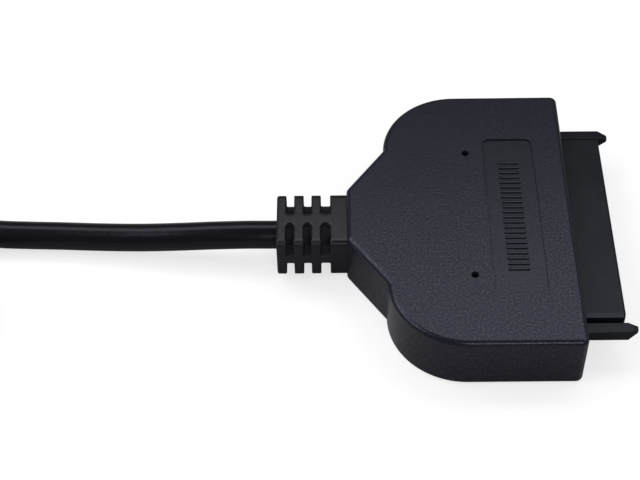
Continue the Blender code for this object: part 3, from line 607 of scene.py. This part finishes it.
# Drive connector: flange, slotted housing and two guide posts
receptacleSettings = {
    "flangeX": (13.7, 18.4), "flangeWidth": 40.9, "flangeCorner": 0.25, "flangeEdge": 0.1,
    "flangeInset": 0.02, "flangeProud": 0.01,
    "root": 15.5, "housingWidth": 36.1, "height": 4.5, "front": 25.05, "chamfer": 0.5, "frontEdge": 0.38,
    "postRoot": 16.0, "postWidth": 1.85, "postHeight": 1.95, "postRise": 0.32, "postCorner": 0.14,
    "postTip": 26.8, "postTaper": 1.45, "tipSize": 0.7, "tipRise": 0.2, "tipShift": 0.15, "tipEdge": 0.05,
    "slotTop": 5.2, "slotHeight": 1.3, "slotDepth": 6.0, "slots": ((-16.695, -6.285), (-3.875, 16.695)),
    "keyWidth": 1.1, "keyDepth": 0.75, "keyOverlap": 0.4, "rim": 0.14, "rimSpan": 1.7,
    "grooveBack": 12.0, "grooveWidth": 0.85, "grooveZ": (4.925, 5.525), "grooveLip": 0.75,
    "pitch": 1.27, "contacts": (7, 15),
}


def makePost(side):
    sizes = receptacleSettings
    middle = bodySettings["height"] / 2 + sizes["postRise"]
    y = side * (sizes["flangeWidth"] - sizes["postWidth"]) / 2
    halfWidth, halfHeight = sizes["postWidth"] / 2, sizes["postHeight"] / 2
    shape = roundBox((sizes["postRoot"], y - halfWidth, middle - halfHeight),
                     (sizes["postTip"] - sizes["postTaper"], y + halfWidth, middle + halfHeight),
                     sizes["postCorner"], segments=3)
    tip = max(shape.faces, key=lambda face: face.calc_center_median().x)
    tip = bmesh.ops.extrude_discrete_faces(shape, faces=[tip])["faces"][0]
    shrink = (1, sizes["tipSize"] / sizes["postWidth"], sizes["tipSize"] / sizes["postHeight"])
    shift = (sizes["postTaper"], -side * sizes["tipShift"], sizes["tipRise"])
    bmesh.ops.scale(shape, vec=shrink, space=Matrix.Translation((0, -y, -middle)), verts=tip.verts)
    bmesh.ops.translate(shape, vec=shift, verts=tip.verts)
    bmesh.ops.remove_doubles(shape, verts=shape.verts, dist=weld)
    ring = [edge for edge in shape.edges if all(v.co.x > sizes["postTip"] - 0.01 for v in edge.verts)]
    roundEdges(shape, ring, sizes["tipEdge"], 2, clamp=True)
    bmesh.ops.recalc_face_normals(shape, faces=shape.faces)
    return shape


def makeReceptacle():
    sizes = receptacleSettings
    middle, front = bodySettings["height"] / 2, sizes["front"]
    low, high = middle - sizes["height"] / 2, middle + sizes["height"] / 2
    halfFlange, halfHousing = sizes["flangeWidth"] / 2 - sizes["flangeInset"], sizes["housingWidth"] / 2
    shape = roundBox((sizes["root"], -halfHousing, low), (front, halfHousing, high), sizes["chamfer"],
                     segments=1)
    rim = [edge for edge in shape.edges if all(v.co.x > front - 0.01 for v in edge.verts)]
    roundEdges(shape, rim, sizes["frontEdge"], 4)
    receptacle = shapeObject("driveReceptacle", shape)
    flange = roundBox((sizes["flangeX"][0], -halfFlange, low - sizes["flangeProud"]),
                      (sizes["flangeX"][1], halfFlange, high + sizes["flangeProud"]),
                      sizes["flangeCorner"], sizes["flangeEdge"])
    carve(receptacle, [flange, makePost(-1), makePost(1)], "UNION")

    slotFloor, slotBack = sizes["slotTop"] - sizes["slotHeight"], front - sizes["slotDepth"]
    halfGroove, (grooveLow, grooveHigh) = sizes["grooveWidth"] / 2, sizes["grooveZ"]
    slots, grooves = [], []
    for (start, stop), count in zip(sizes["slots"], sizes["contacts"]):
        slots.append(roundBox((slotBack, start, slotFloor), (front + over, stop, sizes["slotTop"])))
        slots.append(roundBox((slotBack, start, slotFloor - sizes["keyDepth"]),
                              (front + over, start + sizes["keyWidth"], slotFloor + sizes["keyOverlap"])))
        contactMiddle = (start + stop + sizes["keyWidth"]) / 2
        for number in range(count):
            y = contactMiddle + (number - (count - 1) / 2) * sizes["pitch"]
            grooves.append(roundBox((sizes["grooveBack"], y - halfGroove, grooveLow),
                                    (front - sizes["grooveLip"], y + halfGroove, grooveHigh)))
    carve(receptacle, slots)

    def softenSlots(shape):
        def onFace(vertex):
            x, y, z = vertex.co
            return x > front - near and abs(y) < halfHousing - 0.4 and abs(z - middle) < sizes["rimSpan"]

        roundEdges(shape, rimsOn(shape, onFace), sizes["rim"], 2)

    reshape(receptacle, softenSlots)
    carve(receptacle, [together(grooves)])
    finishPiece(receptacle, [housingPlastic])
    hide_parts("sata_receptacle")


makeReceptacle()
print("drive connector made")

# Strap round the coil
strapSettings = {"width": 4.0, "thickness": 0.42, "gap": 0.06, "edge": 0.1, "steps": 12}


def makeStrapFinish():
    finish = Finish("woven strap", Roughness=0.85, Sheen_Weight=0.2)
    weave = finish.waves("X", 1.1) + finish.waves("Z", 1.1)
    fuzz = finish.noise(5.0, 3.0, 0.7)
    base = finish.blend(fuzz, (0.010, 0.010, 0.011), (0.030, 0.030, 0.032))
    finish.feed(Base_Color=base, Roughness=0.78 + fuzz * 0.15)
    finish.bump((weave * 0.5, 0.05), (fuzz, 0.05))
    return finish


def makeStrap():
    sizes, cord = strapSettings, cableSettings
    radius = cord["diameter"] / 2 + sizes["gap"]
    base = cord["restHeight"] + cord["strapLift"]
    turns = [Vector((r, 0, base + z)) for r, z in cord["strapTurns"]]
    shape = bmesh.new()
    # round the outer, the top and the inner turn, drawn in distance from the coil's axis and height
    spot = first = shape.verts.new(turns[0] - Vector((0, 0, radius)))
    for centre, following in zip(turns, [*turns[1:], turns[0]]):
        arc = bmesh.ops.spin(
            shape, geom=[spot], cent=centre, axis=(0, -1, 0), angle=math.radians(120), steps=sizes["steps"],
        )
        spot = vertsOf(arc["geom_last"])[0]
        end = first if following is turns[0] else shape.verts.new(spot.co + following - centre)
        shape.edges.new((spot, end))
        spot = end
    bmesh.ops.translate(shape, vec=(0, -sizes["width"] / 2, 0), verts=shape.verts)
    band = bmesh.ops.extrude_edge_only(shape, edges=shape.edges[:])["geom"]
    bmesh.ops.translate(shape, vec=(0, sizes["width"], 0), verts=vertsOf(band))
    bmesh.ops.remove_doubles(shape, verts=shape.verts, dist=weld)
    bmesh.ops.recalc_face_normals(shape, faces=shape.faces)
    x, y = cord["coilCentre"]
    place = Matrix.Translation((x, y, 0)) @ Matrix.Rotation(math.radians(cord["strapAngle"]), 4, "Z")
    bmesh.ops.transform(shape, matrix=place, verts=shape.verts)
    strap = shapeObject("coilStrap", shape)
    wall = strap.modifiers.new("thickness", "SOLIDIFY")
    wall.thickness, wall.offset = sizes["thickness"], 1
    edge = strap.modifiers.new("edge", "BEVEL")
    edge.width, edge.segments = sizes["edge"], 2
    settle(strap)
    finishPiece(strap, [makeStrapFinish()])
    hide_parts("coil_tie")
    return strap


strap = makeStrap()
print("strap made")

# Plug: a moulded grip with a grooved neck, and a folded steel shell
plugSettings = {
    "y": 6.8, "z": 4.0, "rear": -126.3,
    "neckLength": 6.0, "neckRadius": 3.1, "neckJoin": 2.0,
    "rings": 3, "ringStart": 1.3, "ringPitch": 1.7, "ringWidth": 0.8, "ringDepth": 0.45,
    "gripFront": -152.3, "gripWidth": 15.6, "gripHeight": 8.0, "gripCorner": 1.9, "gripEdge": 1.0,
    "fingerGrooves": (-149.0, -147.2, -145.4, -143.6, -141.8), "fingerWidth": 0.9, "fingerLength": 9.2,
    "fingerCorner": 0.44, "fingerTool": 1.0, "fingerLift": 0.2, "voxel": 0.16, "smoothing": 5,
    "shellRear": -147.5, "shellFront": -170.9, "shellWidth": 12.0, "shellHeight": 4.5, "shellCorner": 0.6,
    "shellWall": 0.3, "shellEdge": 0.04, "shellGap": 0.15, "shellSeat": 0.2,
    "seamWidth": 0.06, "seamDepth": 0.12,
    "windowX": -162.8, "windowLength": 2.4, "windowWidth": 2.2, "windowSpacing": 5.9, "windowCorner": 0.25,
}


def plugBox(start, stop, width, height, corner, edge=0.0, segments=6):
    y, z = plugSettings["y"], plugSettings["z"]
    low, high = (start, y - width / 2, z - height / 2), (stop, y + width / 2, z + height / 2)
    return roundBox(low, high, corner, edge, segments=segments)


def makePlugGrip():
    sizes = plugSettings
    y, z = sizes["y"], sizes["z"]
    neckFront = sizes["rear"] - sizes["neckLength"]
    neckLength = sizes["neckLength"] + sizes["neckJoin"]
    grip = shapeObject("plugGrip", plugBox(
        sizes["gripFront"], neckFront, sizes["gripWidth"], sizes["gripHeight"],
        sizes["gripCorner"], sizes["gripEdge"],
    ))
    neck = drum(sizes["neckRadius"], neckLength, (sizes["rear"] - neckLength / 2, y, z), "X")
    carve(grip, [neck], "UNION")
    cuts = []
    for number in range(sizes["rings"]):
        x = sizes["rear"] - sizes["ringStart"] - number * sizes["ringPitch"]
        ring = drum(sizes["neckRadius"] + 2 * over, sizes["ringWidth"], (x, y, z), "X")
        hole = drum(sizes["neckRadius"] - sizes["ringDepth"], 2 * over, (x, y, z), "X")
        tool = shapeObject("ring", ring)
        carve(tool, [hole])
        shape = bmesh.new()
        shape.from_mesh(tool.data)
        bpy.data.objects.remove(tool)
        cuts.append(shape)
    halfGroove = Vector((sizes["fingerWidth"], sizes["fingerLength"], sizes["fingerTool"])) / 2
    for x in sizes["fingerGrooves"]:
        for level in (-1, 1):
            middle = Vector((x, y, z + level * (sizes["gripHeight"] / 2 + sizes["fingerLift"])))
            cuts.append(roundBox(middle - halfGroove, middle + halfGroove, sizes["fingerCorner"], along="z"))
    room = 2 * sizes["shellGap"]
    cuts.append(plugBox(sizes["gripFront"] - 2 * over, sizes["shellRear"] + sizes["shellSeat"],
                        sizes["shellWidth"] + room, sizes["shellHeight"] + room, sizes["shellCorner"]))
    carve(grip, [together(cuts)])
    evenSkin(grip, sizes["voxel"], sizes["smoothing"])
    finishPiece(grip, [moulding], sharp=180, weighted=False)
    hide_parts("usb_plug_grip")
    return grip


def makePlugShell():
    sizes = plugSettings
    y, z, wall = sizes["y"], sizes["z"], sizes["shellWall"]
    width, height, corner = sizes["shellWidth"], sizes["shellHeight"], sizes["shellCorner"]
    front, rear, halfSeam = sizes["shellFront"], sizes["shellRear"], sizes["seamWidth"] / 2
    shell = shapeObject("plugShell", plugBox(front, rear, width, height, corner))
    inside = plugBox(front - over, rear + over, width - 2 * wall, height - 2 * wall, corner - wall)
    halfWindow = Vector((sizes["windowLength"] / 2, sizes["windowWidth"] / 2, height))
    windows = []
    for side in (-1, 1):
        middle = Vector((sizes["windowX"], y + side * sizes["windowSpacing"] / 2, z))
        windows.append(roundBox(middle - halfWindow, middle + halfWindow, sizes["windowCorner"], along="z"))
    seam = roundBox((front - over, y - halfSeam, z - height),
                    (rear + over, y + halfSeam, z - height / 2 + sizes["seamDepth"]))
    carve(shell, [inside, together(windows), seam])
    edge = shell.modifiers.new("edge", "BEVEL")
    edge.width, edge.segments = sizes["shellEdge"], 2
    edge.limit_method, edge.angle_limit = "ANGLE", math.radians(50)
    settle(shell)
    finish = Finish("drawn steel", Metallic=1.0, Roughness=0.3)
    lines = finish.noise(1.0, 4.0, 0.7, (0.15, 9.0, 9.0))
    stains = finish.noise(0.4, 3.0)
    finish.feed(Base_Color=finish.blend(stains, (0.56, 0.56, 0.57), (0.68, 0.68, 0.67)),
                Roughness=0.22 + lines * 0.14 + stains * 0.05)
    finish.bump((lines, 0.006))
    finishPiece(shell, [finish])
    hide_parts("usb_plug_shell")
    return shell


grip = makePlugGrip()
shell = makePlugShell()
print("plug made")


# Finishes of the CAD's own pieces
def makeGold():
    finish = Finish("gold plating", Metallic=1.0, Roughness=0.28)
    tone, wear = finish.noise(0.8, 3.0), finish.noise(5.0, 3.0, 0.6)
    finish.feed(Base_Color=finish.blend(tone, (0.78, 0.53, 0.22), (0.86, 0.63, 0.30)),
                Roughness=0.22 + wear * 0.16)
    finish.bump((wear, 0.003))
    return finish


def makePlain(name, dark, light, roughness, scale, depth, metallic=0.0):
    # a moulded, fired or coated surface: two tones, a grain and its bump
    finish = Finish(name, Metallic=metallic)
    tone, grain = finish.noise(scale, 3.0), finish.noise(scale * 6, 3.0, 0.6)
    finish.feed(Base_Color=finish.blend(tone, dark, light), Roughness=roughness + grain * 0.15)
    finish.bump((grain, depth))
    return finish


def makeLaminate():
    finish = Finish("board laminate", Roughness=0.4)
    weave = finish.waves("X", 0.6) * finish.waves("Y", 0.6)
    tracks = finish.noise(0.5, 2.0, 0.5, (1.0, 3.0, 1.0)).ramp(0.48, 0.52)
    base = finish.blend(tracks, (0.008, 0.055, 0.022), (0.012, 0.085, 0.032))
    finish.feed(Base_Color=base, Roughness=0.32 + weave * 0.12)
    finish.bump((weave, 0.01), (tracks, 0.015))
    return finish


gold = makeGold()
# part of the node's name: its finish, by name, two tones, roughness, pattern's scale and bump's depth
nodeFinishes = {
    "signal_contact": gold, "power_contact": gold, "usb_contact": gold, "fast_contact": gold,
    "insulator": makePlain("blue insulator", (0.012, 0.075, 0.36), (0.018, 0.095, 0.44), 0.38, 0.6, 0.01),
    "inner_mould": makePlain("inner moulding", (0.52, 0.50, 0.44), (0.62, 0.60, 0.53), 0.45, 0.3, 0.02),
    "circuit_board": makeLaminate(),
    "chip": makePlain("chip resin", (0.012, 0.012, 0.013), (0.022, 0.022, 0.023), 0.42, 1.2, 0.008),
    "regulator": makePlain("regulator resin", (0.012, 0.012, 0.013), (0.020, 0.020, 0.021), 0.45, 1.0, 0.008),
    "crystal": makePlain("tin can", (0.50, 0.50, 0.49), (0.62, 0.62, 0.60), 0.22, 1.0, 0.004, 1.0),
    "capacitor": makePlain("capacitor ceramic", (0.22, 0.14, 0.07), (0.30, 0.20, 0.11), 0.4, 2.0, 0.01),
    "inductor": makePlain("ferrite", (0.020, 0.020, 0.021), (0.035, 0.035, 0.036), 0.6, 1.5, 0.02),
    "core": makePlain("wire insulation", (0.30, 0.30, 0.29), (0.42, 0.42, 0.40), 0.35, 0.8, 0.006),
}
for name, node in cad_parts.items():
    for part, finish in nodeFinishes.items():
        if part in name and not node.hide_render:
            node.material_slots[0].material = finish.material
print("CAD pieces finished")

# Floor and studio light, in metres, apart from the plug's place and reach
studioSettings = {
    "floorColour": 0.42, "floorGlow": 0.69, "floorSize": 4.0, "sky": 0.16,
    "plugPlace": (-160.0, 5.0, 0.0), "plugReach": (30.0, 60.0),
    # name: place, size and power; each faces the body
    "lamps": {
        "back": ((0.0, 0.58, 1.05), (2.4, 0.50), 7.6),
        "left": ((-0.80, 0.0, 0.68), (0.8, 0.8), 4.8),
        "right": ((0.72, 0.05, 0.75), (0.8, 0.8), 1.4),
        "front": ((0.17, -0.79, 0.59), (0.4, 0.4), 1.8),
    },
}


def makeStudio():
    sizes = studioSettings
    shape = bmesh.new()
    bmesh.ops.create_grid(shape, x_segments=1, y_segments=1, size=sizes["floorSize"] / 2)
    floor = shapeObject("studioFloor", shape)
    grey = sizes["floorColour"]
    finish = Finish("studio floor", Base_Color=(grey, grey, grey, 1), Roughness=0.9, Emission_Strength=1.0)
    path = finish.node("ShaderNodeLightPath")
    glow = sizes["floorGlow"]
    # the metal shell of the plug shows the white ground too; the dark plastic keeps the shade of its walls
    away = finish.node("ShaderNodeVectorMath", {"operation": "DISTANCE"},
                       {0: finish.place, 1: sizes["plugPlace"]})["Value"]
    shown = path["Is Glossy Ray"] * (1 - away.ramp(*sizes["plugReach"]))
    seen = path["Is Camera Ray"] + shown + path["Is Transmission Ray"]
    finish.feed(Emission_Color=finish.blend(seen, (0, 0, 0), (glow, glow, glow)))
    floor.data.materials.append(finish.material)
    world = bpy.data.worlds.new("studio")
    world.use_nodes = True
    world.node_tree.nodes["Background"].inputs["Color"].default_value = (1, 1, 1, 1)
    world.node_tree.nodes["Background"].inputs["Strength"].default_value = sizes["sky"]
    bpy.context.scene.world = world
    for name, (place, (width, depth), power) in sizes["lamps"].items():
        data = bpy.data.lights.new(name, "AREA")
        data.shape, data.size, data.size_y, data.energy = "RECTANGLE", width, depth, power
        lamp = bpy.data.objects.new(name, data)
        bpy.context.collection.objects.link(lamp)
        lamp.location = place
        lamp.rotation_euler = (-Vector(place)).to_track_quat("-Z", "Y").to_euler()


makeStudio()
bpy.context.scene.view_settings.view_transform = "Standard"
print("studio set")
